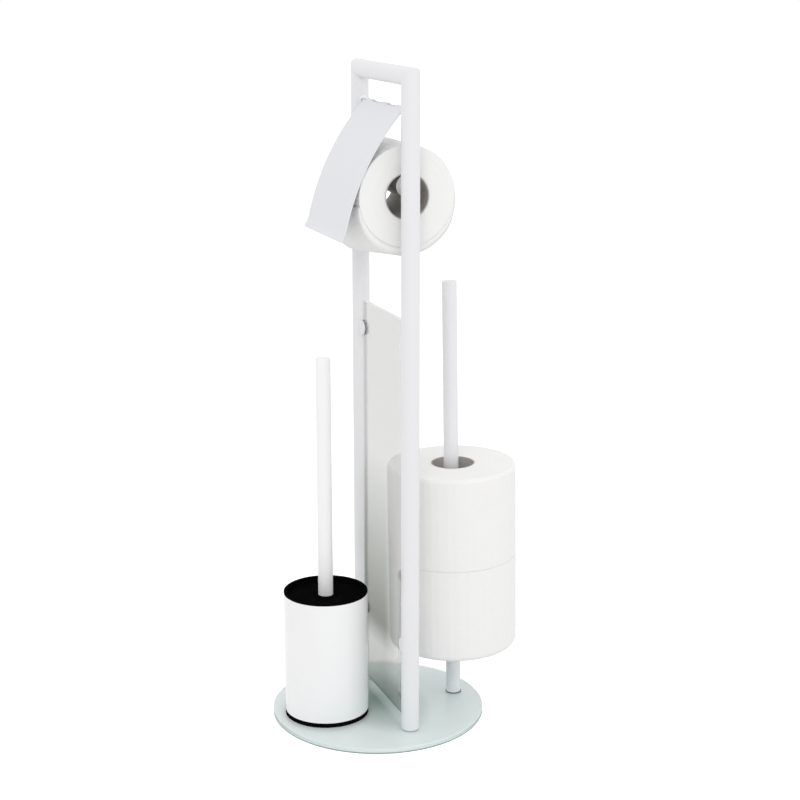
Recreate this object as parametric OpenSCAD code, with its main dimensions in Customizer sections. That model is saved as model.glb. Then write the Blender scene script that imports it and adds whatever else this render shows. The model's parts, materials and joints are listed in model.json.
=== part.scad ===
// Free-standing toilet roll storage holder: a round glass foot carries a tube frame with a
// glass panel, a sprung roller with a hinged cover, a rod for spare rolls and a toilet brush.
// Origin: centre of the round foot, on the floor. X runs along the frame, the cover and the
// brush are on the -Y side, the spare rolls on the +Y side, and Z is up.

/* [Base] */
// Diameter of the round glass foot
base_d = 230; // [222:1:260]
// Thickness of the glass foot
base_t = 6; // [5:0.5:10]
// Polished chamfer along the edges of the glass foot
base_edge = 0.8; // [0.4:0.1:1.5]
// Height of the clear pads under the glass
pad_h = 4; // [3.8:0.1:8]
// Diameter of the clear pads
pad_d = 12; // [8:1:16]
// Distance from the edge of the glass to the middle of an outer pad
pad_inset = 16; // [12:1:22]
// Number of pads in the outer ring
pad_count = 4; // [3:1:8]

/* [Frame] */
// Overall height of the frame above the floor
frame_h = 704; // [696:1:780]
// Outer diameter of the frame tube
post_d = 19; // [17:0.5:22]
// Wall of the frame tube
post_wall = 1.2; // [1:0.1:2]
// Clear width between the two posts
post_gap = 127; // [124:1:140]
// Distance of the frame plane behind the middle of the foot
frame_y = 9.5; // [6:0.5:14]
// Thickness of the rubber rings between the tubes and the glass
gasket_t = 1; // [0.5:0.5:3]

/* [Fixings] */
// Diameter of the screws that come up through the glass
screw_d = 6; // [5:0.5:6.5]
// Diameter of the flat screw heads
screw_head_d = 11; // [10:0.5:13]
// Height of the flat screw heads
screw_head_h = 2.4; // [1.5:0.1:2.6]
// Diameter of the washers under the glass
washer_d = 18; // [14:1:24]
// Thickness of the washers under the glass
washer_t = 1; // [0.6:0.1:1.1]
// Diameter of the holes in the glass
glass_hole_d = 8; // [7:0.5:9]
// Length of the threaded plugs in the tube ends
insert_l = 20; // [18:1:40]
// Length of screw inside a plug
screw_grip = 14; // [8:1:17]

/* [Glass panel] */
// Thickness of the glass panel
panel_t = 5; // [4:0.5:6]
// Height of the panel's top edge above the floor
panel_top = 450; // [420:1:480]
// Gap between the panel and the glass foot
panel_lift = 9.6; // [5:0.2:20]
// Gap between the panel and each post
panel_side_gap = 2; // [1.6:0.1:4]
// Corner radius of the panel
panel_corner = 2; // [1:0.5:6]
// Height of the half-round glass clips
clip_h = 16; // [12:1:20]
// Reach of the clips from the post
clip_reach = 11; // [10:0.5:16]
// Thickness of each clip jaw
jaw_t = 1.8; // [1.2:0.1:2.5]
// Thickness of the rubber between clip and glass
liner_t = 0.8; // [0.4:0.1:1.2]
// Distance of the upper clips below the panel's top edge
clip_top_inset = 30; // [14:1:60]
// Distance of the lower clips above the panel's bottom edge
clip_bottom_inset = 81; // [14:1:120]
// Diameter of the studs that hold the clips
stud_d = 4; // [3:0.5:5]

/* [Cover] */
// Distance of the cover's hinge below the top of the frame
hinge_drop = 42; // [38:1:48]
// Diameter of the hinge rod
hinge_rod_d = 4; // [3:0.5:5]
// Length of each knuckle that holds the cover to its rod
knuckle_l = 14; // [8:1:24]
// Distance from the middle of the cover to its outer knuckles
knuckle_x = 42; // [30:1:48]
// Thickness of the cover sheet
cover_t = 1.2; // [0.8:0.1:1.5]
// Length of the cover's arc, measured straight from the hinge
cover_l = 131; // [115:1:140]
// Bulge of the cover's arc
cover_bulge = 8.5; // [6:0.5:12]
// Length of the lip that flares out below the arc
lip_l = 14; // [8:1:24]
// Angle through which the lip flares out
lip_turn = 26; // [8:1:40]
// Gap between a centred cover and each post
cover_gap = 5.5; // [5:0.5:10]
// Shift of the cover along its hinge rod
cover_shift = 4; // [0:0.5:4]
// Length of the hinge rod's ends inside the bushes
hinge_grip = 5; // [3:0.5:7]

/* [Roller] */
// Distance of the roller's axis below the top of the frame
roller_drop = 116.5; // [114:0.5:124]
// Outer diameter of the roller
roller_d = 22; // [20:0.5:26]
// Wall of the two roller tubes
roller_wall = 1.4; // [1:0.1:1.6]
// Diameter of the roller's end tips
tip_d = 7; // [6:0.5:8]
// Length of the tips inside their sockets
tip_l = 5.5; // [4:0.5:6.5]
// Length of the outer roller tube
outer_l = 80; // [70:1:90]
// Length of the inner roller tube
inner_l = 82; // [75:1:84]
// Thickness of the walls that close the roller tubes
roller_end_t = 3; // [2:0.5:4]
// Wire of the roller spring
wire_d = 1.6; // [1:0.1:1.8]
// Turns of the roller spring
spring_turns = 8; // [5:1:9]

/* [Paper roll] */
// Diameter of the paper roll on the roller
roll_d = 103; // [80:1:108]
// Width of the paper roll
roll_w = 100; // [90:1:105]
// Inner diameter of the cardboard cores
core_d = 45; // [40:1:50]
// Wall of the cardboard cores
core_t = 1; // [0.5:0.1:1.5]
// Shift of the roll along the roller
roll_shift = 9; // [0:0.5:9]
// Shift of the roll away from the cover that leans on it
roll_push = 2; // [0:0.5:4]

/* [Spare rolls] */
// Outer diameter of the rod for spare rolls
rod_d = 16; // [14:0.5:20]
// Wall of the rod's tube
rod_wall = 1.2; // [1:0.1:2]
// Height of the rod's top above the floor
rod_top = 477; // [400:1:520]
// Lean of the rod towards the frame, in degrees
rod_lean = 1; // [0:0.1:1.4]
// Diameter of a spare roll
spare_d = 137; // [110:1:140]
// Width of a spare roll
spare_w = 102; // [90:0.5:105]
// Gap between the spare rolls and the posts
spare_gap = 4.5; // [2:0.5:8]
// Distance by which the spare rolls hang off the rod's axis
spare_offset = 2; // [0:0.5:8]
// Height of the lowest spare roll above the floor, measured along the rod
spare_z = 73; // [50:1:110]
// Diameter of the stop collar's flange
flange_d = 60; // [54:1:80]
// Thickness of the stop collar's flange
flange_t = 3; // [2:0.5:5]
// Diameter of the stop collar's hub
collar_d = 28; // [25:1:36]
// Height of the stop collar's hub
collar_h = 10; // [8:1:16]

/* [Brush holder] */
// Outer diameter of the brush holder
holder_d = 90; // [84:1:98]
// Height of the brush holder above the glass
holder_h = 138; // [130:1:170]
// Wall of the holder's metal sleeve
sleeve_t = 1; // [0.6:0.1:1.5]
// Height of the black ring under the sleeve
foot_h = 5; // [4:0.5:8]
// Distance from the holder to the edge of the glass foot
holder_edge = 11.5; // [8:0.5:16]
// Sideways shift of the holder
holder_x = -2; // [-8:0.5:8]
// Depth of the foot's collar inside the sleeve
spigot_h = 8; // [5:1:14]
// Wall of the plastic foot and of the inner cup
plastic_t = 1.5; // [1:0.1:2]

/* [Brush] */
// Outer diameter of the brush handle
handle_d = 16; // [14:0.5:20]
// Wall of the handle's tube
handle_wall = 1; // [0.8:0.1:1.5]
// Height of the handle's top above the floor
handle_top = 405; // [360:1:460]
// Wall of the dished lid
lid_t = 2; // [1.5:0.1:3]
// Height of the lid's rim above the sleeve
lid_rim_h = 2; // [1.5:0.5:4]
// Width of the lid's rim
lid_rim_w = 3.5; // [3:0.5:6]
// Depth of the lid's dish below its rim
lid_dish = 6; // [4:0.5:12]
// Diameter of the collar round the handle
lid_collar_d = 25; // [23:0.5:30]
// Height of the collar round the handle
lid_collar_h = 1.2; // [0.8:0.1:3]
// Diameter of the steel shaft inside the handle
shaft_d = 8; // [6:0.5:9]
// Length of the plug that holds the shaft in the handle
plug_l = 24; // [15:1:40]
// Diameter of the bristle head
head_d = 70; // [60:1:76]
// Height of the bristle head's backing
head_l = 72; // [60:1:80]
// Diameter of the core that carries the bristles
hub_d = 18; // [16:1:22]
// Bristles in one ring
bristle_ring = 20; // [17:1:24]
// Rings of bristles
bristle_rows = 18; // [15:1:20]

/* [Clearances] */
// Radial clearance of turning and sliding fits
fit_gap = 0.05; // [0.02:0.01:0.1]
// Clearance between parts that move past each other
move_gap = 0.4; // [0.3:0.1:0.5]

/* [Hidden] */
$fn = 96;
eps = 0.01;

white = [0.93, 0.93, 0.94];
grey_white = [0.86, 0.87, 0.9];
glass_green = [0.8, 0.9, 0.87, 0.5];
steel = [0.7, 0.7, 0.72];
rubber_black = [0.08, 0.08, 0.08];
clear_rubber = [0.85, 0.87, 0.87, 0.7];
paper_white = [0.97, 0.96, 0.94];
cardboard = [0.6, 0.58, 0.54];

// Heights of the foot
glass_z = pad_h;
deck_z = pad_h + base_t;
tube_z = deck_z + gasket_t;

// Frame
post_r = post_d / 2;
post_x = post_gap / 2 + post_r;
bar_z = frame_h - post_r;
bore_r = post_r - post_wall;

// Panel and clips
panel_w = post_gap - 2 * panel_side_gap;
panel_z = deck_z + panel_lift;
panel_h = panel_top - panel_z;
clip_z = [panel_z + clip_bottom_inset, panel_top - clip_top_inset];
slot_t = panel_t + 2 * liner_t;
clip_t = slot_t + 2 * jaw_t;
web_x = panel_side_gap - liner_t;
stud_l = web_x + post_wall + 5;

// Bushes and sockets in the posts
hinge_z = frame_h - hinge_drop;
roller_z = frame_h - roller_drop;
bush_flange_t = 0.6;
bush_wall = 1.5;
bush_l = hinge_grip + 2;
bush_r = hinge_rod_d / 2 + fit_gap + bush_wall;
socket_flange_t = 0.8;
socket_r = tip_d / 2 + fit_gap + bush_wall;
socket_l = tip_l + 2;
flange_rim = 1.5;

// Paper roll, hanging on the roller and leaning away from the cover
roller_r = roller_d / 2;
core_r = core_d / 2;
hang = core_r - roller_r - move_gap;
roll_y = frame_y + roll_push;
roll_z = roller_z - sqrt(hang * hang - roll_push * roll_push);

// Cover: an arc whose chord runs beside the hinge axis, laid against the paper roll
cover_w = post_gap - 2 * cover_gap;
barrel_r = hinge_rod_d / 2 + cover_t;
arc_v = hinge_rod_d / 2 + cover_t / 2;
lip_r = lip_l * 180 / (PI * lip_turn);
arc_r = (cover_l * cover_l / 4 + cover_bulge * cover_bulge) / (2 * cover_bulge);
arc_u = cover_l / 2;
arc_sink = arc_r - arc_v - cover_bulge;
arc_half = asin(cover_l / 2 / arc_r);
hinge_to_arc = sqrt(arc_u * arc_u + arc_sink * arc_sink);
roll_dy = roll_y - frame_y;
roll_dz = roll_z - hinge_z;
hinge_to_roll = sqrt(roll_dy * roll_dy + roll_dz * roll_dz);
arc_to_roll = arc_r - cover_t / 2 - roll_d / 2 - move_gap;
lean = acos((hinge_to_roll * hinge_to_roll + hinge_to_arc * hinge_to_arc
             - arc_to_roll * arc_to_roll) / (2 * hinge_to_roll * hinge_to_arc));
cover_angle = atan2(roll_dz, roll_dy) - (atan2(arc_sink, arc_u) - lean);

// Roller
roller_end = post_gap / 2 - socket_flange_t - move_gap;
outer_x = roller_end - outer_l;
inner_r = roller_r - roller_wall - fit_gap;
inner_end = inner_l - roller_end;
spring_from = inner_end;
spring_to = roller_end - roller_end_t;
spring_r = inner_r - wire_d / 2 - 1;
knob_t = 4;

// Spare rolls
rod_r = rod_d / 2;
spare_y = frame_y + post_r + spare_gap + spare_d / 2;
rod_y = spare_y - spare_offset;
rod_l = rod_top - tube_z;
spare_l = spare_z - tube_z;
cap_h = 3;
cap_skirt = 10;
grub_r = 1.5;

// Brush holder
holder_y = holder_edge + holder_d / 2 - base_d / 2;
holder_r = holder_d / 2;
sleeve_in_r = holder_r - sleeve_t;
holder_top = deck_z + holder_h;
liner_r = sleeve_in_r - plastic_t - move_gap;
lid_r = sleeve_in_r - move_gap;
lid_top = holder_top + lid_rim_h;
lid_floor = lid_top - lid_dish;
lid_z = lid_floor - lid_t;
rim_t = 2;
foot_floor_z = deck_z + 1;
foot_floor_t = 2;
liner_z = foot_floor_z + foot_floor_t;

// Brush
head_gap = 22;
head_z = liner_z + plastic_t + head_gap;
backing_t = 2;
shaft_r = shaft_d / 2;
shaft_bottom = head_z + 6;
shaft_top = lid_floor + plug_l;
handle_r = handle_d / 2;
neck_h = 14;

// Ring cut from a tube: outer radius, inner radius, height
module ring(r_out, r_in, h) {
  difference() {
    cylinder(r = r_out, h = h);
    translate([0, 0, -1]) cylinder(r = r_in, h = h + 2);
  }
}

// Cylinder that lies along X, starting at x
module rod_x(r, x, l) {
  translate([x, 0, 0]) rotate([0, 90, 0]) cylinder(r = r, h = l);
}

// Repeats a piece at both posts: the second one is turned to face the first
module at_posts() {
  for (side = [-1, 1]) translate([side * post_x, frame_y, 0]) children();
}

module mirror_x() {
  children();
  mirror([1, 0, 0]) children();
}

// Rounded plate in the XZ plane, centred on X, from z = 0 upwards
module upright_plate(w, h, t, r) {
  rotate([90, 0, 0]) linear_extrude(t, center = true) union() {
    translate([-w / 2 + r, 0]) square([w - 2 * r, h]);
    translate([-w / 2, r]) square([w, h - 2 * r]);
    for (x = [-1, 1], z = [r, h - r]) translate([x * (w / 2 - r), z]) circle(r = r);
  }
}

// Where the fixings come through the glass
function fixing_points() = [[-post_x, frame_y], [post_x, frame_y], [0, rod_y]];

module base_plate() {
  color(glass_green) difference() {
    translate([0, 0, glass_z]) rotate_extrude($fn = 180) polygon([
      [0, 0], [base_d / 2 - base_edge, 0], [base_d / 2, base_edge],
      [base_d / 2, base_t - base_edge], [base_d / 2 - base_edge, base_t], [0, base_t]
    ]);
    for (p = fixing_points())
      translate([p[0], p[1], glass_z - 1]) cylinder(d = glass_hole_d, h = base_t + 2);
  }
}

module pad() {
  cylinder(d = pad_d, h = pad_h);
}

module base_pads() {
  color(clear_rubber) {
    pad();
    for (i = [0 : pad_count - 1]) rotate(45 + i * 360 / pad_count)
      translate([base_d / 2 - pad_inset, 0, 0]) pad();
  }
}

// Half space beyond the mitre plane of the right-hand corner
module mitre_cut() {
  reach = 4 * post_d;
  translate([post_x, frame_y, bar_z]) rotate([0, -45, 0])
    translate([-reach, -reach, 0]) cube([2 * reach, 2 * reach, reach]);
}

// Right-hand post with the holes in its inner face
module post() {
  color(white) difference() {
    translate([post_x, frame_y, tube_z]) ring(post_r, bore_r, frame_h - tube_z);
    mitre_cut();
    translate([0, frame_y, hinge_z]) rod_x(bush_r, post_gap / 2 - 1, post_r);
    translate([0, frame_y, roller_z]) rod_x(socket_r, post_gap / 2 - 1, post_r);
    for (z = clip_z) translate([0, frame_y, z])
      rod_x(stud_d / 2, post_gap / 2 - 1, post_r);
  }
}

module post_left() {
  mirror([1, 0, 0]) post();
}

module post_right() {
  post();
}

module top_bar() {
  color(white) difference() {
    translate([0, frame_y, bar_z]) rod_x(post_r, -post_x - post_r, 2 * (post_x + post_r));
    translate([0, frame_y, bar_z]) rod_x(bore_r, -post_x - post_d, 2 * (post_x + post_d));
    mirror_x() translate([post_x, frame_y, bar_z]) rotate([0, 135, 0])
      translate([-4 * post_d, -2 * post_d, 0]) cube([8 * post_d, 4 * post_d, 4 * post_d]);
  }
}

module insert_plug(r) {
  translate([0, 0, tube_z]) ring(r, screw_d / 2, insert_l);
}

module post_inserts() {
  color(steel) at_posts() insert_plug(bore_r);
}

module post_gaskets() {
  color(clear_rubber) at_posts()
    translate([0, 0, deck_z]) ring(post_r, glass_hole_d / 2, gasket_t);
}

module base_washers() {
  color(steel) for (p = fixing_points())
    translate([p[0], p[1], glass_z - washer_t]) ring(washer_d / 2, screw_d / 2, washer_t);
}

// Flat-headed screw from below, with a hexagon socket in its head
module base_screws() {
  head_z0 = glass_z - washer_t - screw_head_h;
  socket_depth = screw_head_h / 2;
  color(steel) for (p = fixing_points()) translate([p[0], p[1], head_z0]) difference() {
    union() {
      cylinder(d = screw_head_d, h = screw_head_h);
      cylinder(d = screw_d, h = screw_head_h + washer_t + base_t + gasket_t + screw_grip);
    }
    translate([0, 0, -1]) cylinder(d = screw_d * 0.7, h = socket_depth + 1, $fn = 6);
  }
}

module glass_panel() {
  color(glass_green) translate([0, frame_y, panel_z])
    upright_plate(panel_w, panel_h, panel_t, panel_corner);
}

// Half-round outline of a clip on the right-hand post, from x_from inwards
module clip_outline(x_from) {
  tip_r = clip_h / 2;
  flat_x = post_gap / 2 - clip_reach + min(tip_r, clip_reach);
  translate([flat_x, -tip_r]) square([x_from - flat_x, clip_h]);
  intersection() {
    translate([flat_x, 0]) circle(r = tip_r);
    translate([flat_x - tip_r, -tip_r]) square([tip_r, clip_h]);
  }
}

// Slab cut to the clip's outline, t thick along Y
module clip_slab(x_from, t) {
  rotate([90, 0, 0]) linear_extrude(t, center = true) clip_outline(x_from);
}

module clip() {
  difference() {
    clip_slab(post_gap / 2 + post_r / 2, clip_t);
    translate([post_x, 0, -clip_h]) cylinder(r = post_r, h = 2 * clip_h);
    translate([0, -slot_t / 2, -clip_h]) cube([post_gap / 2 - web_x, slot_t, 2 * clip_h]);
    rod_x(stud_d / 2, 0, post_gap);
  }
}

module liner() {
  difference() {
    intersection() {
      clip_slab(post_gap / 2, slot_t);
      translate([0, -slot_t, -clip_h]) cube([post_gap / 2 - web_x, 2 * slot_t, 2 * clip_h]);
    }
    translate([0, -panel_t / 2, -clip_h]) cube([panel_w / 2, panel_t, 2 * clip_h]);
  }
}

// Repeats a piece of the right-hand post at all four clips
module at_clips() {
  mirror_x() for (z = clip_z) translate([0, frame_y, z]) children();
}

module panel_clips() {
  color(white) at_clips() clip();
}

module clip_liners() {
  color(clear_rubber) at_clips() liner();
}

module clip_studs() {
  color(steel) at_clips() rod_x(stud_d / 2, post_gap / 2 - web_x, stud_l);
}

// Flanged bush in the inner face of the right-hand post, blind at its far end
module bush(r, hole_r, l, grip, rim_t_x) {
  difference() {
    union() {
      rod_x(r, post_gap / 2 - eps, l + eps);
      rod_x(r + flange_rim, post_gap / 2 - rim_t_x, rim_t_x);
    }
    rod_x(hole_r, post_gap / 2 - rim_t_x - 1, rim_t_x + 1 + grip);
  }
}

module roller_sockets() {
  color(white) mirror_x() translate([0, frame_y, roller_z])
    bush(socket_r, tip_d / 2 + fit_gap, socket_l, tip_l, socket_flange_t);
}

module hinge_bushes() {
  color(white) mirror_x() translate([0, frame_y, hinge_z])
    bush(bush_r, hinge_rod_d / 2 + fit_gap, bush_l, hinge_grip + move_gap, bush_flange_t);
}

// Puts a piece on the leaning rod, whose lower end is at z = 0
module on_rod() {
  translate([0, rod_y, tube_z]) rotate([rod_lean, 0, 0]) children();
}

module spare_rod() {
  color(white) on_rod() ring(rod_r, rod_r - rod_wall, rod_l - cap_h);
}

// Cap with a rounded edge and a plug below it, used on the rod and on the handle
module tube_cap(r, wall, top) {
  edge = 1.5;
  translate([0, 0, top - cap_h]) rotate_extrude() union() {
    square([r, cap_h - edge]);
    square([r - edge, cap_h]);
    translate([r - edge, cap_h - edge]) circle(r = edge);
    translate([0, -cap_skirt]) square([r - wall, cap_skirt + eps]);
  }
}

module rod_cap() {
  color(white) on_rod() tube_cap(rod_r, rod_wall, rod_l);
}

// Threaded plug in the leaning rod; its thread stays upright with the screw
module rod_insert() {
  color(steel) difference() {
    on_rod() cylinder(r = rod_r - rod_wall, h = insert_l);
    translate([0, rod_y, 0]) cylinder(d = screw_d, h = tube_z + 2 * insert_l);
  }
}

// Rubber ring under the rod, squeezed more on the side to which the rod leans
module rod_gasket() {
  color(rubber_black) difference() {
    translate([0, rod_y, deck_z]) ring(rod_r + 0.5, glass_hole_d / 2, 2 * gasket_t);
    on_rod() cylinder(r = rod_d, h = 2 * gasket_t);
  }
}

module stop_collar() {
  color(white) on_rod() translate([0, 0, spare_l]) difference() {
    union() {
      translate([0, 0, -flange_t]) cylinder(d = flange_d, h = flange_t);
      translate([0, 0, -collar_h]) cylinder(d = collar_d, h = collar_h);
    }
    translate([0, 0, -collar_h - 1]) cylinder(r = rod_r, h = collar_h + 2);
    translate([0, 0, -(collar_h + flange_t) / 2]) rod_x(grub_r, 0, collar_d);
  }
}

module collar_screw() {
  color(steel) on_rod() translate([0, 0, spare_l - (collar_h + flange_t) / 2]) difference() {
    rod_x(grub_r, rod_r - 0.5, collar_d / 2 - rod_r);
    cylinder(r = rod_r, h = 2 * collar_h, center = true);
  }
}

// Sheet bent to radius r between two angles that are measured from +Y towards +X
module bent_sheet(r, from, to) {
  intersection() {
    difference() {
      circle(r = r + cover_t / 2, $fn = 360);
      circle(r = r - cover_t / 2, $fn = 360);
    }
    polygon([[0, 0], 2 * r * [sin(from), cos(from)], 2 * r * [sin(to), cos(to)]]);
  }
}

// The cover's profile, with the hinge axis at the origin and the arc's chord along +X. The lip
// starts at a hardly visible crease that is a little thicker than the sheet.
module cover_profile() {
  crease = 0.05;
  out = [sin(arc_half), cos(arc_half)];
  translate([arc_u, -arc_sink]) {
    bent_sheet(arc_r, -arc_half, arc_half);
    translate(arc_r * out) circle(r = cover_t / 2 + crease);
    translate((arc_r + lip_r) * out)
      bent_sheet(lip_r, 180 + arc_half - lip_turn, 180 + arc_half);
  }
}

// Piece of the cover's profile, l wide, less the hinge rod
module cover_slice(l) {
  rotate([90, 0, 90]) linear_extrude(l, center = true) mirror([0, 1]) difference() {
    children();
    circle(r = hinge_rod_d / 2);
  }
}

module cover_plate() {
  color(grey_white) translate([cover_shift, frame_y, hinge_z]) rotate([cover_angle, 0, 0]) {
    cover_slice(cover_w) cover_profile();
    for (x = [-1, 0, 1]) translate([x * knuckle_x, 0, 0])
      cover_slice(knuckle_l) circle(r = barrel_r);
  }
}

module hinge_rod() {
  l = post_gap + 2 * hinge_grip;
  color(steel) translate([0, frame_y, hinge_z]) rod_x(hinge_rod_d / 2, -l / 2, l);
}

module roller_outer() {
  color(white) translate([0, frame_y, roller_z]) difference() {
    union() {
      rod_x(roller_r, outer_x, outer_l);
      rod_x(tip_d / 2, roller_end - eps, post_gap / 2 + tip_l - roller_end - move_gap);
    }
    rod_x(roller_r - roller_wall, outer_x - 1, outer_l - roller_end_t + 1);
  }
}

// The inner tube slides into the outer one, pushed out by the spring
module roller_inner() {
  color(white) translate([0, frame_y, roller_z]) difference() {
    union() {
      rod_x(inner_r, -roller_end, inner_l);
      rod_x(roller_r, -roller_end, knob_t);
      rod_x(tip_d / 2, -post_gap / 2 - tip_l + move_gap, tip_l + socket_flange_t + 2 * move_gap);
    }
    rod_x(inner_r - roller_wall, -roller_end + roller_end_t, inner_l - 2 * roller_end_t);
  }
}

// Spring: curls along X between two straight ends that stand square on the walls
curl_rings = 8;
wire_sides = 6;
spring_end = wire_d;
curl_from = spring_from + spring_end + wire_d / 2;
curl_to = spring_to - spring_end - wire_d / 2;
curl_steps = spring_turns * curl_rings;
function curl_point(i) = [
  curl_from + (curl_to - curl_from) * i / curl_steps,
  spring_r * cos(360 * i / curl_rings),
  spring_r * sin(360 * i / curl_rings)
];
spring_path = concat(
  [[spring_from, spring_r, 0], [spring_from + spring_end / 2, spring_r, 0]],
  [for (i = [0 : curl_steps]) curl_point(i)],
  [[spring_to - spring_end / 2, spring_r, 0], [spring_to, spring_r, 0]]
);
function unit(v) = v / norm(v);
function path_dir(i) =
  i <= 1 ? [1, 0, 0] :
  i >= len(spring_path) - 2 ? [1, 0, 0] :
  unit(spring_path[i + 1] - spring_path[i - 1]);
function path_out(i) = unit([0, spring_path[i][1], spring_path[i][2]]);
function wire_ring(i) =
  let (d = path_dir(i), side = unit(cross(d, path_out(i))), up = cross(side, d))
  [for (k = [0 : wire_sides - 1]) let (a = 360 * k / wire_sides)
    spring_path[i] + wire_d / 2 * (cos(a) * up + sin(a) * side)];
spring_gap = min([for (i = [0 : curl_steps - curl_rings])
  norm(curl_point(i + curl_rings) - curl_point(i))]) - wire_d;
echo(least_spring_gap = spring_gap);

// Unbroken tube swept along a list of rings, closed at both ends
module tube_along(rings) {
  n = len(rings);
  m = len(rings[0]);
  points = [for (r = rings, p = r) p];
  walls = [for (i = [0 : n - 2], k = [0 : m - 1], half = [0, 1])
    let (a = i * m + k, b = i * m + (k + 1) % m)
    half == 0 ? [a, b, b + m] : [a, b + m, a + m]];
  first_end = [for (k = [1 : m - 2]) [0, k + 1, k]];
  last_end = [for (k = [1 : m - 2]) [(n - 1) * m, (n - 1) * m + k, (n - 1) * m + k + 1]];
  polyhedron(points, concat(walls, first_end, last_end));
}

module roller_spring() {
  color(steel) translate([0, frame_y, roller_z])
    tube_along([for (i = [0 : len(spring_path) - 1]) wire_ring(i)]);
}

module paper_roll() {
  color(paper_white) translate([0, roll_y, roll_z]) difference() {
    rod_x(roll_d / 2, roll_shift - roll_w / 2, roll_w);
    rod_x(core_r + core_t, -post_gap, 2 * post_gap);
  }
}

module roll_core() {
  color(cardboard) translate([0, roll_y, roll_z]) difference() {
    rod_x(core_r + core_t, roll_shift - roll_w / 2, roll_w);
    rod_x(core_r, -post_gap, 2 * post_gap);
  }
}

// Puts spare roll number i, counted from the stop collar, on the rod
module at_spare(i) {
  on_rod() translate([0, spare_offset, spare_l + i * spare_w]) children();
}

// Paper of a spare roll, with soft rounded rims
module spare_paper(i) {
  soft = 3;
  color(paper_white) at_spare(i) rotate_extrude() union() {
    translate([core_r + core_t, 0]) square([spare_d / 2 - core_r - core_t - soft, spare_w]);
    translate([core_r + core_t, soft]) square([spare_d / 2 - core_r - core_t, spare_w - 2 * soft]);
    for (z = [soft, spare_w - soft]) translate([spare_d / 2 - soft, z]) circle(r = soft);
  }
}

module spare_core(i) {
  color(cardboard) at_spare(i) ring(core_r + core_t, core_r, spare_w);
}

module spare_roll_lower() {
  spare_paper(0);
}

module spare_core_lower() {
  spare_core(0);
}

module spare_roll_upper() {
  spare_paper(1);
}

module spare_core_upper() {
  spare_core(1);
}

module at_holder() {
  translate([holder_x, holder_y, 0]) children();
}

module holder_sleeve() {
  color(white) at_holder() translate([0, 0, deck_z + foot_h])
    ring(holder_r, sleeve_in_r, holder_h - foot_h);
}

// Black foot: an outer ring under the sleeve, a collar inside it and a raised floor
module holder_foot() {
  color(rubber_black) at_holder() rotate_extrude() polygon([
    [0, foot_floor_z], [sleeve_in_r - plastic_t - 2, foot_floor_z],
    [sleeve_in_r - plastic_t - 2, deck_z], [holder_r, deck_z],
    [holder_r, deck_z + foot_h], [sleeve_in_r, deck_z + foot_h],
    [sleeve_in_r, deck_z + foot_h + spigot_h],
    [sleeve_in_r - plastic_t, deck_z + foot_h + spigot_h],
    [sleeve_in_r - plastic_t, liner_z], [0, liner_z]
  ]);
}

// Removable inner cup with a rim under the lid
module holder_liner() {
  color(rubber_black) at_holder() rotate_extrude() polygon([
    [0, liner_z], [liner_r, liner_z], [liner_r, lid_z - rim_t], [lid_r, lid_z - rim_t],
    [lid_r, lid_z], [liner_r - plastic_t, lid_z],
    [liner_r - plastic_t, liner_z + plastic_t], [0, liner_z + plastic_t]
  ]);
}

module brush_handle() {
  color(white) at_holder() translate([0, 0, lid_floor])
    ring(handle_r, handle_r - handle_wall, handle_top - cap_h - lid_floor);
}

module handle_cap() {
  color(white) at_holder() tube_cap(handle_r, handle_wall, handle_top);
}

module handle_plug() {
  color(rubber_black) at_holder() translate([0, 0, lid_floor])
    ring(handle_r - handle_wall, shaft_r, plug_l);
}

// Dished lid whose rim lies on the sleeve; its wall reaches down inside
module brush_lid() {
  bevel = 0.5;
  color(rubber_black) at_holder() rotate_extrude() polygon([
    [shaft_r, lid_z], [lid_r, lid_z], [lid_r, holder_top], [holder_r, holder_top],
    [holder_r, lid_top - bevel], [holder_r - bevel, lid_top],
    [holder_r - lid_rim_w + bevel, lid_top], [holder_r - lid_rim_w, lid_top - bevel],
    [holder_r - lid_rim_w, lid_floor], [shaft_r, lid_floor]
  ]);
}

module lid_collar() {
  bevel = 0.4;
  color(rubber_black) at_holder() rotate_extrude() translate([0, lid_floor]) polygon([
    [handle_r, 0], [lid_collar_d / 2, 0], [lid_collar_d / 2, lid_collar_h - bevel],
    [lid_collar_d / 2 - bevel, lid_collar_h], [handle_r, lid_collar_h]
  ]);
}

module brush_shaft() {
  color(steel) at_holder() translate([0, 0, shaft_bottom])
    cylinder(r = shaft_r, h = shaft_top - shaft_bottom);
}

// Core of the brush head with a conical neck that grips the shaft
module brush_core() {
  hub_r = hub_d / 2;
  color(rubber_black) at_holder() difference() {
    translate([0, 0, head_z]) rotate_extrude() polygon([
      [0, 0], [hub_r, 0], [hub_r, head_l], [shaft_r + 1.5, head_l + neck_h], [0, head_l + neck_h]
    ]);
    translate([0, 0, shaft_bottom]) cylinder(r = shaft_r, h = head_l + neck_h);
  }
}

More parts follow.
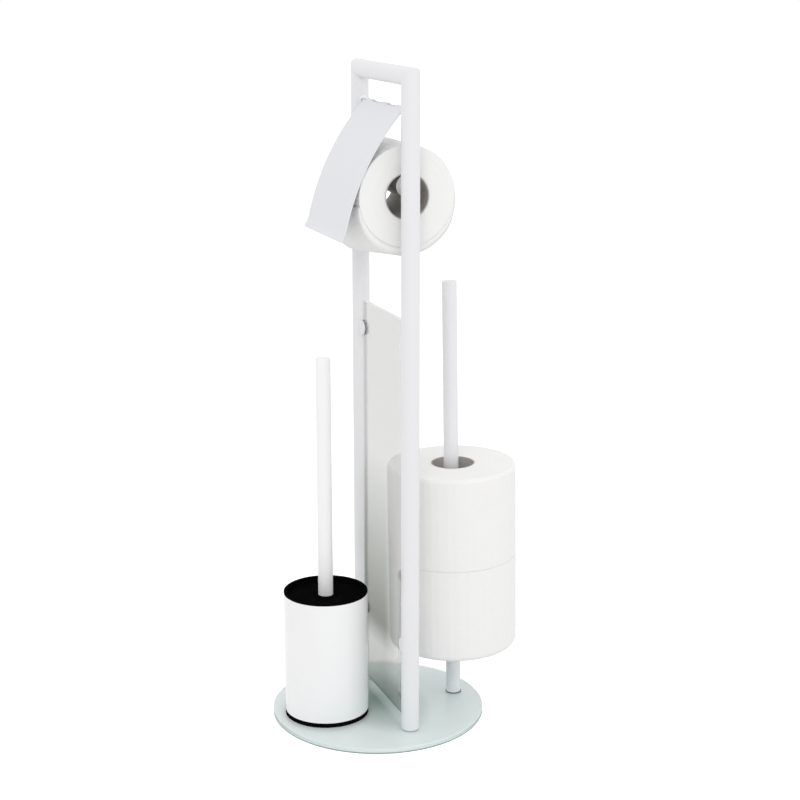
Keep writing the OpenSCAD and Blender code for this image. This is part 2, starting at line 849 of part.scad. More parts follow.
// Bristles: every cell of a grid round the backing is split in two triangles, and one of
// them grows out into a tapered strand
cells_n = bristle_ring;
rows_n = bristle_rows;
backing_r = hub_d / 2 + backing_t;
function row_z(j) = head_z + head_l * j / rows_n;
bore_r_out = hub_d / 2 / cos(180 / cells_n);
function cell_angle(i) = 360 * i / cells_n;
function round_point(i, r, z) = [r * cos(cell_angle(i)), r * sin(cell_angle(i)), z];
function grid_point(i, j) = round_point(i, backing_r, row_z(j));
function bore_point(i, z) = round_point(i, bore_r_out, z);
bristle_tip = 0.4;
function row_share(j) = (j + 0.4) / rows_n * 2 - 1;
function strand_len(j) = (head_d / 2 - backing_r) * (0.62 + 0.38 * sqrt(1 - pow(row_share(j), 2)));
function strand_tilt(j) = let (s = row_share(j)) s > 0 ? 18 * s : 18 * s - 30 * s * s;
function strand_dir(i, j) = let (a = cell_angle(i + 0.33), tilt = strand_tilt(j))
  [cos(a) * cos(tilt), sin(a) * cos(tilt), sin(tilt)];
function strand_base(i, j) = [grid_point(i, j), grid_point(i + 1, j), grid_point(i, j + 1)];
function strand_tip(i, j) = let (b = strand_base(i, j), c = (b[0] + b[1] + b[2]) / 3)
  [for (p = b) c + (p - c) * bristle_tip + strand_dir(i, j) * strand_len(j)];

module brush_bristles() {
  grid = [for (j = [0 : rows_n], i = [0 : cells_n - 1]) grid_point(i, j)];
  bore = [for (z = [row_z(0), row_z(rows_n)], i = [0 : cells_n - 1]) bore_point(i, z)];
  tips = [for (j = [0 : rows_n - 1], i = [0 : cells_n - 1], p = strand_tip(i, j)) p];
  bore_at = len(grid);
  tips_at = bore_at + len(bore);
  cells = [for (j = [0 : rows_n - 1], i = [0 : cells_n - 1])
    let (a = j * cells_n + i, b = j * cells_n + (i + 1) % cells_n,
         c = a + cells_n, d = b + cells_n, t = tips_at + 3 * (j * cells_n + i))
    each [[b, c, d], [a, t + 1, b], [a, t, t + 1], [b, t + 2, c], [b, t + 1, t + 2],
          [c, t, a], [c, t + 2, t], [t, t + 2, t + 1]]];
  ends = [for (i = [0 : cells_n - 1])
    let (k = (i + 1) % cells_n, low = bore_at, high = bore_at + cells_n, top = rows_n * cells_n)
    each [[i, k, low + k], [i, low + k, low + i], [top + i, high + k, top + k],
          [top + i, high + i, high + k], [low + i, low + k, high + k],
          [low + i, high + k, high + i]]];
  color([0.9, 0.9, 0.92]) at_holder()
    polyhedron(concat(grid, bore, tips), concat(cells, ends));
}

base_plate();
base_pads();
post_left();
post_right();
top_bar();
post_inserts();
post_gaskets();
base_washers();
base_screws();
glass_panel();
panel_clips();
clip_liners();
clip_studs();
roller_sockets();
hinge_bushes();
spare_rod();
rod_cap();
rod_insert();
rod_gasket();
stop_collar();
collar_screw();
cover_plate();
hinge_rod();
roller_outer();
roller_inner();
roller_spring();
paper_roll();
roll_core();
spare_roll_lower();
spare_core_lower();
spare_roll_upper();
spare_core_upper();
holder_sleeve();
holder_foot();
holder_liner();
brush_handle();
handle_cap();
handle_plug();
brush_lid();
lid_collar();
brush_shaft();
brush_core();
brush_bristles();
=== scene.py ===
"""Looks of the free-standing toilet roll storage holder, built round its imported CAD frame."""
import json
import math
import random

import bpy
from mathutils import Matrix, Vector, noise


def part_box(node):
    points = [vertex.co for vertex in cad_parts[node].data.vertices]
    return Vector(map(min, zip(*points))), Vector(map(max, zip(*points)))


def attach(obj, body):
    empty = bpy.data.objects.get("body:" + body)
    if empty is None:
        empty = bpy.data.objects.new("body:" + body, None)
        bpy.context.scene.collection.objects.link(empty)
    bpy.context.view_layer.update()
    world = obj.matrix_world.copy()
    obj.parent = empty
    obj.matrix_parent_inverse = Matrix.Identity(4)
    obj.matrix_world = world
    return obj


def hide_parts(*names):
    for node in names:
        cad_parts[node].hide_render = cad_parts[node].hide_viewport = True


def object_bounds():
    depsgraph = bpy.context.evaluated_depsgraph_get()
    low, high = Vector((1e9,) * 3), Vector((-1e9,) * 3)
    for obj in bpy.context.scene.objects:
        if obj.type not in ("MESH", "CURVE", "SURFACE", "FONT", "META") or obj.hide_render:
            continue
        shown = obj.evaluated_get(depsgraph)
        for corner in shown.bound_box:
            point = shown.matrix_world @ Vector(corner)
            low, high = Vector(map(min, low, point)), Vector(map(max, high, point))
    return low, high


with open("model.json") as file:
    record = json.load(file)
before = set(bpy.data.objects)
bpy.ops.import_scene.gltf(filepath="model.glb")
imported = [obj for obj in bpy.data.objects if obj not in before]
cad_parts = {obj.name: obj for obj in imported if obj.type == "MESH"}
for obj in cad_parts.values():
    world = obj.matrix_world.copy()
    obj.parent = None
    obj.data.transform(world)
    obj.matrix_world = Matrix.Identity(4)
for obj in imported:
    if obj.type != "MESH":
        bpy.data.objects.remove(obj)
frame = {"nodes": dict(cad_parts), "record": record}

MM = 0.001
NODES = frame["nodes"]
cad_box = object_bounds()


# Places taken from the frame

def span(node):
    """Middle and half size of a CAD node's box."""
    low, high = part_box(node)
    return (low + high) / 2, (high - low) / 2


ROLL_MID, ROLL_HALF = span("paper_roll")
HEAD_MID, HEAD_HALF = span("brush_bristles")
CORE_R = span("roll_core")[1].z
FLOOR_Z = cad_box[0].z
GLASS_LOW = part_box("base_plate")[0].z
# Lean of the rod for the spare rolls, towards the frame
LEAN = math.radians(1.0)


# Camera, lights and floor

CAMERA_AZIMUTH = 68.95
CAMERA_PITCH = 14.55
CAMERA_ROLL = -0.05
CAMERA_TARGET = Vector((0.00624, 0.02387, 0.35405))
CAMERA_DISTANCE = 1.82597
LENS = 77.93
SENSOR = 36

# Strength of the white world where it lights the object instead of being seen
WORLD_LIGHT = 0.99
FLOOR_REACH = 12.0
FLOOR_COLOUR = (0.8, 0.8, 0.8)
# Glow that lifts the floor to white, where the camera sees it and where glass or gloss shows it
FLOOR_GLOW = 0.5
FLOOR_GLOW_MIRRORED = 0.25

KEY_LAMP = {"place": (1.4, 1.3, 1.1), "aim": (0, 0, 0.35), "size": 0.9, "power": 3}
FILL_LAMP = {"place": (1.6, -1.0, 1.45), "aim": (0, 0, 0.4), "size": 0.6, "power": 5}


def make_camera():
    """Camera at the photograph's viewpoint, recovered from the outlines of foot, posts and rolls."""
    azimuth, pitch = math.radians(CAMERA_AZIMUTH), math.radians(CAMERA_PITCH)
    back = Vector((
        math.sin(azimuth) * math.cos(pitch), -math.cos(azimuth) * math.cos(pitch), math.sin(pitch)))
    data = bpy.data.cameras.new("camera")
    data.lens = LENS
    data.sensor_width = SENSOR
    camera = bpy.data.objects.new("camera", data)
    turn = (-back).to_track_quat("-Z", "Y").to_matrix().to_4x4()
    roll = Matrix.Rotation(math.radians(CAMERA_ROLL), 4, "Z")
    camera.matrix_world = Matrix.Translation(CAMERA_TARGET + CAMERA_DISTANCE * back) @ turn @ roll
    bpy.context.scene.collection.objects.link(camera)
    bpy.context.scene.camera = camera


def make_lamp(name, place, aim, size, power):
    """Soft square lamp that looks from place at aim."""
    data = bpy.data.lights.new(name, "AREA")
    data.shape = "SQUARE"
    data.size = size
    data.energy = power
    lamp = bpy.data.objects.new(name, data)
    lamp.location = place
    lamp.rotation_euler = (Vector(aim) - Vector(place)).to_track_quat("-Z", "Y").to_euler()
    bpy.context.scene.collection.objects.link(lamp)


def seen_in_glass(tree, rays):
    """1 for rays that reach the surroundings through glass or off a glossy face, else 0."""
    return math_node(tree, "MAXIMUM", rays["Is Transmission Ray"], rays["Is Glossy Ray"])


def make_world():
    """White where it is seen, mirrored or seen through glass, and soft light on the object."""
    world = bpy.data.worlds.new("studio")
    bpy.context.scene.world = world
    world.use_nodes = True
    tree = world.node_tree
    tree.nodes.clear()
    rays = add(tree, "ShaderNodeLightPath").outputs
    seen = math_node(tree, "MAXIMUM", rays["Is Camera Ray"], seen_in_glass(tree, rays))
    strength = remap(tree, seen, WORLD_LIGHT, 1.0)
    light = add(tree, "ShaderNodeBackground", {"Color": (1, 1, 1, 1), "Strength": strength})
    add(tree, "ShaderNodeOutputWorld", {"Surface": light.outputs[0]})


def floor_white():
    """Pale matt floor with a glow that lifts it to the background's white."""
    material = bpy.data.materials.new("floor_white")
    material.use_nodes = True
    tree = material.node_tree
    tree.nodes.clear()
    matt = add(tree, "ShaderNodeBsdfDiffuse", {"Color": (*FLOOR_COLOUR, 1)})
    rays = add(tree, "ShaderNodeLightPath").outputs
    plain = math_node(tree, "MULTIPLY", rays["Is Camera Ray"], FLOOR_GLOW)
    mirrored = math_node(tree, "MULTIPLY", seen_in_glass(tree, rays), FLOOR_GLOW_MIRRORED)
    strength = math_node(tree, "ADD", plain, mirrored)
    glow = add(tree, "ShaderNodeEmission", {"Color": (1, 1, 1, 1), "Strength": strength})
    both = add(tree, "ShaderNodeAddShader", {0: matt.outputs[0], 1: glow.outputs[0]})
    add(tree, "ShaderNodeOutputMaterial", {"Surface": both.outputs[0]})
    return material


def make_floor():
    """Floor that looks white and still takes the object's soft shadow."""
    mesh = bpy.data.meshes.new("floor")
    signs = [(-1, -1), (1, -1), (1, 1), (-1, 1)]
    corners = [(x * FLOOR_REACH, y * FLOOR_REACH, FLOOR_Z) for x, y in signs]
    mesh.from_pydata(corners, [], [(0, 1, 2, 3)])
    mesh.materials.append(floor_white())
    floor = bpy.data.objects.new("floor", mesh)
    bpy.context.scene.collection.objects.link(floor)


# Material building blocks

# Numbers of the colour mixer's sockets: its two colours and its result
MIX_FIRST, MIX_SECOND, MIX_RESULT = 6, 7, 2


def add(tree, kind, inputs=None, **settings):
    """New node with its settings and its inputs, each a value or another node's socket."""
    made = tree.nodes.new(kind)
    for name, value in settings.items():
        setattr(made, name, value)
    for name, value in (inputs or {}).items():
        if isinstance(value, bpy.types.NodeSocket):
            tree.links.new(value, made.inputs[name])
        else:
            made.inputs[name].default_value = value
    return made


def new_material(name, colour, roughness, **shader):
    """Material with one Principled shader. Its other values are named with _ for a space."""
    material = bpy.data.materials.new(name)
    material.use_nodes = True
    bsdf = material.node_tree.nodes["Principled BSDF"]
    bsdf.inputs["Base Color"].default_value = (*colour, 1)
    bsdf.inputs["Roughness"].default_value = roughness
    for socket, value in shader.items():
        bsdf.inputs[socket.replace("_", " ")].default_value = value
    material.diffuse_color = (*colour, 1)
    return material, material.node_tree, bsdf


def math_node(tree, operation, first, second=0.0):
    """Result of an operation on two values, each a number or another node's socket."""
    return add(tree, "ShaderNodeMath", {0: first, 1: second}, operation=operation).outputs[0]


def remap(tree, value, low, high, from_low=0.0, from_high=1.0):
    """Value moved from one range into another and held at its ends."""
    return add(tree, "ShaderNodeMapRange", {
        "Value": value, "From Min": from_low, "From Max": from_high,
        "To Min": low, "To Max": high}).outputs[0]


def tinted(tree, factor, first, second):
    """Colour between two, each a colour or another node's socket, by factor."""
    ends = [c if isinstance(c, bpy.types.NodeSocket) else (*c, 1) for c in (first, second)]
    mixer = add(tree, "ShaderNodeMix", {
        "Factor": factor, MIX_FIRST: ends[0], MIX_SECOND: ends[1]}, data_type="RGBA")
    return mixer.outputs[MIX_RESULT]


def colour_by(tree, bsdf, factor, first, second):
    """Gives the shader a colour between two by factor."""
    tree.links.new(tinted(tree, factor, first, second), bsdf.inputs["Base Color"])


def roughen(tree, bsdf, factor, low, high):
    """Gives the shader a roughness between two by factor."""
    tree.links.new(remap(tree, factor, low, high), bsdf.inputs["Roughness"])


def scaled(colour, share):
    """Each number of a colour or a place, times share."""
    return tuple(c * share for c in colour)


def place_of(tree, stretch=(1, 1, 1), shift=(0, 0, 0)):
    """The piece's own coordinates in metres, stretched and shifted."""
    coords = add(tree, "ShaderNodeTexCoord")
    return add(tree, "ShaderNodeMapping", {
        "Vector": coords.outputs["Object"], "Scale": stretch, "Location": shift}).outputs[0]


def parts_of(tree, vector):
    """The x, y and z of a vector as three sockets."""
    return add(tree, "ShaderNodeSeparateXYZ", {"Vector": vector}).outputs


def speckle(tree, size, place=None, detail=2.0):
    """Noise from 0 to 1 whose grains are about size metres across."""
    place = place or place_of(tree)
    return add(tree, "ShaderNodeTexNoise", {
        "Vector": place, "Scale": 1 / size, "Detail": detail}).outputs["Fac"]


def relief(tree, bsdf, *layers):
    """Bump from several layers of (height, strength, depth in metres)."""
    normal = None
    for height, strength, depth in layers:
        bump = add(tree, "ShaderNodeBump", {
            "Height": height, "Strength": strength, "Distance": depth})
        if normal:
            tree.links.new(normal, bump.inputs["Normal"])
        normal = bump.outputs[0]
    tree.links.new(normal, bsdf.inputs["Normal"])


# Materials of the object

def paint(name, colour, gloss, grain=0.9 * MM, depth=0.025 * MM, coat=0.0):
    """Powder coat: an even colour with faint clouds and the fine waves of its skin."""
    material, tree, bsdf = new_material(name, colour, gloss, Coat_Weight=coat, Coat_Roughness=0.08)
    colour_by(tree, bsdf, speckle(tree, 60 * MM), scaled(colour, 0.975), colour)
    grains = speckle(tree, grain)
    roughen(tree, bsdf, grains, gloss * 0.85, gloss * 1.15)
    waves = speckle(tree, 4 * MM)
    relief(tree, bsdf, (grains, 0.35, depth), (waves, 0.2, depth))
    return material


def plastic(name, colour, gloss, depth=0.02 * MM, shine=0.5):
    """Moulded plastic with a fine satin grain."""
    material, tree, bsdf = new_material(name, colour, gloss, Specular_IOR_Level=shine)
    scuffs = speckle(tree, 14 * MM, place_of(tree, (1, 1, 0.3)))
    lighter = tuple(min(1, c * 1.25 + 0.002) for c in colour)
    colour_by(tree, bsdf, scuffs, colour, lighter)
    roughen(tree, bsdf, scuffs, gloss * 0.85, gloss * 1.3)
    grains = speckle(tree, 0.4 * MM, detail=4)
    relief(tree, bsdf, (grains, 0.3, depth))
    return material


def metal(name, colour, gloss, along=(1, 1, 1), streak=0.6 * MM, depth=0.006 * MM):
    """Metal with fine marks drawn out along the axis whose share is smallest."""
    material, tree, bsdf = new_material(name, colour, gloss, Metallic=1.0)
    colour_by(tree, bsdf, speckle(tree, 9 * MM), scaled(colour, 0.93), colour)
    marks = speckle(tree, streak, place_of(tree, along), detail=3)
    roughen(tree, bsdf, marks, gloss * 0.7, gloss * 1.4)
    relief(tree, bsdf, (marks, 0.3, depth))
    return material


def let_light_through(tree, look, tint):
    """Lets shadow rays and soft light pass the glass, whose own look is the given shader."""
    clear = add(tree, "ShaderNodeBsdfTransparent", {"Color": (*tint, 1)})
    rays = add(tree, "ShaderNodeLightPath").outputs
    soft = math_node(tree, "MAXIMUM", rays["Is Shadow Ray"], rays["Is Diffuse Ray"])
    mix = add(tree, "ShaderNodeMixShader", {0: soft, 1: look, 2: clear.outputs[0]})
    tree.links.new(mix.outputs[0], tree.nodes["Material Output"].inputs["Surface"])


def edge_mask(tree, axis):
    """1 where the surface faces across the given axis of its sheet, 0 on its two large faces."""
    across, flat = 0.3, 0.8
    normal = add(tree, "ShaderNodeTexCoord").outputs["Normal"]
    along = math_node(tree, "ABSOLUTE", parts_of(tree, normal)[axis])
    return remap(tree, along, 1.0, 0.0, across, flat)


PANEL_CLEAR = (0.66, 0.667, 0.652)
# Colour of the painted reflection of dark surroundings in the panel
PANEL_PAINTED_REFLECTION = (0.1, 0.12, 0.085)
# Heights between which the painted reflection thins out above and sets in below, and x where it ends
REFLECTION_TOP = (105 * MM, 290 * MM)
REFLECTION_FOOT = (72 * MM, 98 * MM)
REFLECTION_SIDE = (2 * MM, 48 * MM)
# Matt edges of the panel, dark with painted shade below the first height near the foot and pale
# above the second
PANEL_EDGE_PAINTED_SHADE = (0.2, 0.27, 0.24)
PANEL_EDGE_HIGH = (0.86, 0.88, 0.87)
PANEL_EDGE_HEIGHTS = (20 * MM, 60 * MM)
PANEL_LIGHT_TINT = (0.97, 0.97, 0.965)


def panel_painted_reflection(tree, x, z):
    """Strength of the soft painted reflection low on the panel's far side."""
    top = remap(tree, z, 1.0, 0.0, *REFLECTION_TOP)
    foot = remap(tree, z, 0.4, 1.0, *REFLECTION_FOOT)
    side = remap(tree, x, 1.0, 0.0, *REFLECTION_SIDE)
    return math_node(tree, "MULTIPLY", math_node(tree, "MULTIPLY", top, foot), side)


def panel_glass(name):
    """Polished panel: clear above, with a soft grey-green painted reflection low on its far side."""
    material, tree, bsdf = new_material(name, PANEL_CLEAR, 0.0, IOR=1.5, Transmission_Weight=1.0)
    x, _, z = parts_of(tree, place_of(tree))
    colour_by(tree, bsdf, panel_painted_reflection(tree, x, z), PANEL_CLEAR, PANEL_PAINTED_REFLECTION)
    roughen(tree, bsdf, speckle(tree, 35 * MM, detail=3), 0.0, 0.03)
    # Painted shade on the panel's edges, darkest near the foot
    low = remap(tree, z, 1.0, 0.0, *PANEL_EDGE_HEIGHTS)
    ground = add(tree, "ShaderNodeBsdfDiffuse", {
        "Color": tinted(tree, low, PANEL_EDGE_HIGH, PANEL_EDGE_PAINTED_SHADE)})
    look = add(tree, "ShaderNodeMixShader", {
        0: edge_mask(tree, 1), 1: bsdf.outputs[0], 2: ground.outputs[0]})
    let_light_through(tree, look.outputs[0], PANEL_LIGHT_TINT)
    return material


FOOT_PALE = (0.93, 0.985, 0.985)
FOOT_DEEP = (0.88, 0.945, 0.94)
# Colour of the painted shade on the foot
FOOT_PAINTED_SHADE = (0.1, 0.2, 0.16)
# Painted shadow beside the brush holder: its middle, its stretch along x, and where it fades
PAINTED_SHADOW_SPOT = (-12 * MM, 2 * MM)
PAINTED_SHADOW_STRETCH = 0.6
PAINTED_SHADOW_FADE = (5 * MM, 56 * MM)
# Heights above the foot's underside between which the painted shade along its lower edge fades
PAINTED_UNDERSHADE_HEIGHTS = (1.2 * MM, 2.4 * MM)


def foot_painted_shade(tree):
    """How much painted shade the foot takes: a painted shadow beside the brush holder, painted shade
    on its rim seen at a slant, and along its lower edge.
    """
    # Painted shadow beside the brush holder, fading with distance from its middle
    shift = (-PAINTED_SHADOW_STRETCH * PAINTED_SHADOW_SPOT[0], -PAINTED_SHADOW_SPOT[1], 0)
    away = add(tree, "ShaderNodeVectorMath", {
        0: place_of(tree, (PAINTED_SHADOW_STRETCH, 1, 0), shift)}, operation="LENGTH").outputs["Value"]
    beside = remap(tree, away, 0.85, 0.0, *PAINTED_SHADOW_FADE)
    facing = add(tree, "ShaderNodeLayerWeight", {"Blend": 0.5}).outputs["Facing"]
    # Painted shade on the side wall, strongest where it is seen at a slant
    rim = math_node(tree, "MULTIPLY", edge_mask(tree, 2), math_node(tree, "POWER", facing, 2.0))
    # Painted shade along the foot's lower edge
    height = parts_of(tree, place_of(tree))[2]
    painted_undershade = remap(tree, height, 0.9, 0.0, GLASS_LOW + PAINTED_UNDERSHADE_HEIGHTS[0], GLASS_LOW + PAINTED_UNDERSHADE_HEIGHTS[1])
    return math_node(tree, "MAXIMUM", beside, math_node(tree, "MAXIMUM", rim, painted_undershade))


def foot_glass(name):
    """Satin foot: a polished skin over pale green-grey glass, with painted shade beside the brush
    holder, on its rim and along its lower edge.
    """
    material, tree, bsdf = new_material(
        name, FOOT_PALE, 0.35, IOR=1.5, Transmission_Weight=0.3, Coat_Weight=0.35,
        Coat_Roughness=0.04, Specular_IOR_Level=0.25)
    clouds = tinted(tree, speckle(tree, 50 * MM), FOOT_DEEP, FOOT_PALE)
    colour_by(tree, bsdf, foot_painted_shade(tree), clouds, FOOT_PAINTED_SHADE)
    frost = speckle(tree, 0.5 * MM, detail=4)
    roughen(tree, bsdf, frost, 0.3, 0.45)
    relief(tree, bsdf, (frost, 0.2, 0.01 * MM))
    let_light_through(tree, bsdf.outputs[0], FOOT_PALE)
    return material


def clear_plastic(name):
    """Milky clear rubber or plastic."""
    material, tree, bsdf = new_material(
        name, (0.82, 0.86, 0.86), 0.3, IOR=1.45, Transmission_Weight=0.7)
    relief(tree, bsdf, (speckle(tree, 0.5 * MM), 0.3, 0.02 * MM))
    return material


def tissue(name):
    """Soft crepe paper: fibres, faint clouds and a fine crepe."""
    colour = (0.87, 0.867, 0.857)
    material, tree, bsdf = new_material(
        name, colour, 0.95, Specular_IOR_Level=0.15, Subsurface_Weight=0.25, Subsurface_Scale=1.0,
        Subsurface_Radius=(2 * MM, 1.9 * MM, 1.8 * MM))
    colour_by(tree, bsdf, speckle(tree, 22 * MM, detail=4), scaled(colour, 0.97), colour)
    fibres = speckle(tree, 0.5 * MM, detail=6)
    crepe = speckle(tree, 1.6 * MM)
    relief(tree, bsdf, (fibres, 0.5, 0.12 * MM), (crepe, 0.4, 0.2 * MM))
    return material


def cardboard(name, axis, middle, pitch=38 * MM, seam_share=0.03):
    """Grey core board with its spiral seam and stretched fibres."""
    colour, dark = (0.57, 0.55, 0.53), (0.4, 0.38, 0.35)
    material, tree, bsdf = new_material(name, colour, 0.85, Specular_IOR_Level=0.2)
    parts = parts_of(tree, place_of(tree, shift=scaled(middle, -1)))
    first, second = (parts[i] for i in range(3) if i != axis)
    angle = math_node(tree, "ARCTAN2", second, first)
    turns = math_node(tree, "MULTIPLY", angle, 1 / (2 * math.pi))
    steps = math_node(tree, "MULTIPLY", parts[axis], 1 / pitch)
    wound = math_node(tree, "FRACT", math_node(tree, "ADD", turns, steps))
    seam = math_node(tree, "LESS_THAN", wound, seam_share)
    drawn_out = tuple(0.25 if i == axis else 1 for i in range(3))
    fibres = speckle(tree, 1.2 * MM, place_of(tree, drawn_out), detail=5)
    shade = math_node(tree, "MAXIMUM", math_node(tree, "MULTIPLY", seam, 0.8), fibres)
    colour_by(tree, bsdf, shade, colour, dark)
    groove = math_node(tree, "SUBTRACT", 1.0, seam)
    relief(tree, bsdf, (fibres, 0.5, 0.1 * MM), (groove, 0.6, 0.2 * MM))
    return material


def core_card(node):
    """Board of a cardboard core, whose seam winds round that core's own axis."""
    axis = 0 if node == "roll_core" else 2
    return cardboard(node + "_card", axis, span(node)[0])


def nylon(name):
    """Milky bristles that let a little light through."""
    material, tree, bsdf = new_material(
        name, (0.86, 0.87, 0.88), 0.35, Transmission_Weight=0.15, Subsurface_Weight=0.2,
        Subsurface_Radius=(1 * MM, 1 * MM, 1 * MM))
    colour_by(tree, bsdf, speckle(tree, 6 * MM), (0.8, 0.81, 0.82), (0.9, 0.91, 0.92))
    return material


def make_materials():
    """The material of every slot but core_card, which differs from core to core."""
    return {
        "white_tube": paint("white_tube", (0.79, 0.79, 0.805), 0.32),
        "white_sleeve": paint("white_sleeve", (0.88, 0.88, 0.885), 0.2, 1.6 * MM, 0.012 * MM, 0.3),
        "white_handle": paint("white_handle", (0.9, 0.9, 0.905), 0.3),
        "cover_sheet": paint("cover_sheet", (0.755, 0.76, 0.785), 0.4),
        "frosted_glass": foot_glass("frosted_glass"),
        "clear_glass": panel_glass("clear_glass"),
        "clear_rubber": clear_plastic("clear_rubber"),
        "black_rubber": plastic("black_rubber", (0.03, 0.03, 0.03), 0.6),
        "white_plastic": plastic("white_plastic", (0.82, 0.82, 0.83), 0.3),
        "black_plastic": plastic("black_plastic", (0.002, 0.002, 0.002), 0.22, shine=0.0),
        "steel": metal("steel", (0.6, 0.6, 0.61), 0.3),
        "spring_steel": metal("spring_steel", (0.5, 0.5, 0.52), 0.25),
        "roller_metal": metal("roller_metal", (0.88, 0.88, 0.89), 0.2, (0.04, 1, 1)),
        "tissue": tissue("tissue"),
        "bristle": nylon("bristle"),
    }


def dress_nodes(materials):
    """Gives each CAD node the material of its slot."""
    slots = {s["node"]: s["material_slot"] for s in frame["record"]["subparts"]}
    for name, piece in NODES.items():
        slot = slots[name]
        material = core_card(name) if slot == "core_card" else materials[slot]
        if not piece.material_slots:
            piece.data.materials.append(material)
        for place in piece.material_slots:
            place.material = material


# Mesh building blocks

def mesh_piece(name, points, faces, material, body):
    """Visible piece with smooth shading that rides on a body."""
    mesh = bpy.data.meshes.new(name)
    mesh.from_pydata(points, [], faces)
    mesh.materials.append(material)
    mesh.polygons.foreach_set("use_smooth", [True] * len(mesh.polygons))
    mesh.update()
    piece = bpy.data.objects.new(name, mesh)
    bpy.context.scene.collection.objects.link(piece)
    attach(piece, body)
    return piece


def ring_faces(rows, columns, close_rows):
    """Quads of a grid whose columns go round, and whose rows do too if close_rows."""
    faces = []
    for i in range(rows if close_rows else rows - 1):
        a, b = i * columns, (i + 1) % rows * columns
        for j in range(columns):
            k = (j + 1) % columns
            faces.append((a + j, a + k, b + k, b + j))
    return faces


def shares(count):
    """That many numbers, evenly from 0 to 1."""
    return [i / (count - 1) for i in range(count)]


# Paper rolls

ROLL_SEGMENTS = 260
FACE_STEPS = 34
WALL_STEPS = 76
RIM_STEPS = 7
# Soft rims of each roll: left or lower, then right or upper
USED_RIMS = (1.2 * MM, 1.2 * MM)
LOWER_RIMS = (6 * MM, 1.5 * MM)
UPPER_RIMS = (1.5 * MM, 4 * MM)
# Layers on the end faces: their waves, how far they stand out, and the level zone at the core
LAYER_WAVE = 0.35 * MM
LAYER_STAND = 0.3 * MM
LEVEL_ZONE = 4 * MM
# Dents of the wall: embossed pattern, soft hollows and fine ribs along the roll
EMBOSS_PITCH = 7 * MM
EMBOSS_DEPTH = 0.22 * MM
HOLLOW_DEPTH = 0.25 * MM
RIB_DEPTH = 0.12 * MM
RIBS = 46


def roll_end(inner, outer, half, soft):
    """Half outline of a roll's end as (radius, height): its face and its soft rim."""
    rim = [(math.sin(t * math.pi / 2), math.cos(t * math.pi / 2)) for t in shares(RIM_STEPS)]
    face = [(inner + (outer - soft - inner) * t, half) for t in shares(FACE_STEPS)]
    return face + [(outer - soft + soft * s, half - soft + soft * c) for s, c in rim[1:]]


def roll_profile(inner, outer, half, soft):
    """Closed outline of a paper roll: its two ends, whose rims are soft[0] and soft[1], and wall."""
    top, bottom = half - soft[1], soft[0] - half
    wall = [(outer, top + (bottom - top) * t) for t in shares(WALL_STEPS)[1:-1]]
    lower = [(r, -h) for r, h in reversed(roll_end(inner, outer, half, soft[0]))]
    return roll_end(inner, outer, half, soft[1]) + wall + lower


def layer_wave(radius, turn, seed):
    """How far the layers of paper stand up or lie back on an end face, from -1 to 1."""
    direction = (math.cos(turn), math.sin(turn))
    fine = noise.noise(Vector((radius / (1.3 * MM), seed + direction[0], direction[1])))
    broad = noise.noise(Vector((radius / (9 * MM), seed + 0.7 * direction[0], 0.7 * direction[1])))
    return 0.55 * fine + 0.6 * broad


def face_lift(radius, turn, seed):
    """How far a point of an end face stands out of the plain face."""
    share = min(1.0, max(0.0, (radius - CORE_R) / LEVEL_ZONE))
    return abs(LAYER_WAVE * layer_wave(radius, turn, seed) * share - LAYER_STAND * share)


def emboss(around, along):
    """Raised diamonds in a close staggered pattern, from 0 to 1."""
    u, v = around / EMBOSS_PITCH, along / EMBOSS_PITCH
    return max(0.0, math.cos(math.pi * (u + v)) * math.cos(math.pi * (u - v))) ** 2


def wall_dent(turn, height, outer, seed):
    """How deep a point of the wall lies below the roll's full radius."""
    pattern = EMBOSS_DEPTH * (1 - emboss(turn * outer, height))
    spot = Vector((2.5 * math.cos(turn), 2.5 * math.sin(turn), seed + height / (40 * MM)))
    hollow = HOLLOW_DEPTH + HOLLOW_DEPTH * noise.noise(spot)
    rib = RIB_DEPTH * (1 + math.sin(RIBS * turn + 2 * math.sin(5 * turn + seed)))
    return pattern + hollow + rib


def place_flat(middle, radius, turn, height):
    """Point of the roll in use, whose axis runs along x."""
    return (middle.x + height, middle.y + radius * math.cos(turn),
            middle.z + radius * math.sin(turn))


def place_upright(middle, radius, turn, height):
    """Point of a roll that leans with the rod it stands on."""
    across = radius * math.sin(turn)
    return (middle.x + radius * math.cos(turn),
            middle.y + across * math.cos(LEAN) - height * math.sin(LEAN),
            middle.z + across * math.sin(LEAN) + height * math.cos(LEAN))


def roll_size(half, place):
    """Half length and radius of a roll, from the half size of its CAD node's box."""
    if place is place_flat:
        return half.x, half.y
    return (half.z - half.x * math.sin(LEAN)) / math.cos(LEAN), half.x


def make_roll(name, node, body, material, place, soft, seed):
    """Paper roll in the space of its CAD node, with the softness of its two rims. place turns the
    node's middle and a radius, turn and height into a point."""
    middle, half = span(node)
    half_length, outer = roll_size(half, place)
    profile = roll_profile(CORE_R, outer, half_length, soft)
    points = []
    for radius, height in profile:
        rim = soft[1] if height > 0 else soft[0]
        on_face = abs(height) > half_length - rim * 0.5
        on_wall = radius > outer - rim * 0.3
        for j in range(ROLL_SEGMENTS):
            turn = 2 * math.pi * j / ROLL_SEGMENTS
            lift = math.copysign(face_lift(radius, turn, seed), height) if on_face else 0.0
            dent = wall_dent(turn, height, outer, seed) if on_wall else 0.0
            points.append(place(middle, radius - dent, turn, height + lift))
    faces = ring_faces(len(profile), ROLL_SEGMENTS, True)
    piece = mesh_piece(name, points, faces, material, body)
    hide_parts(node)


# Loose outer layers of the roll in use

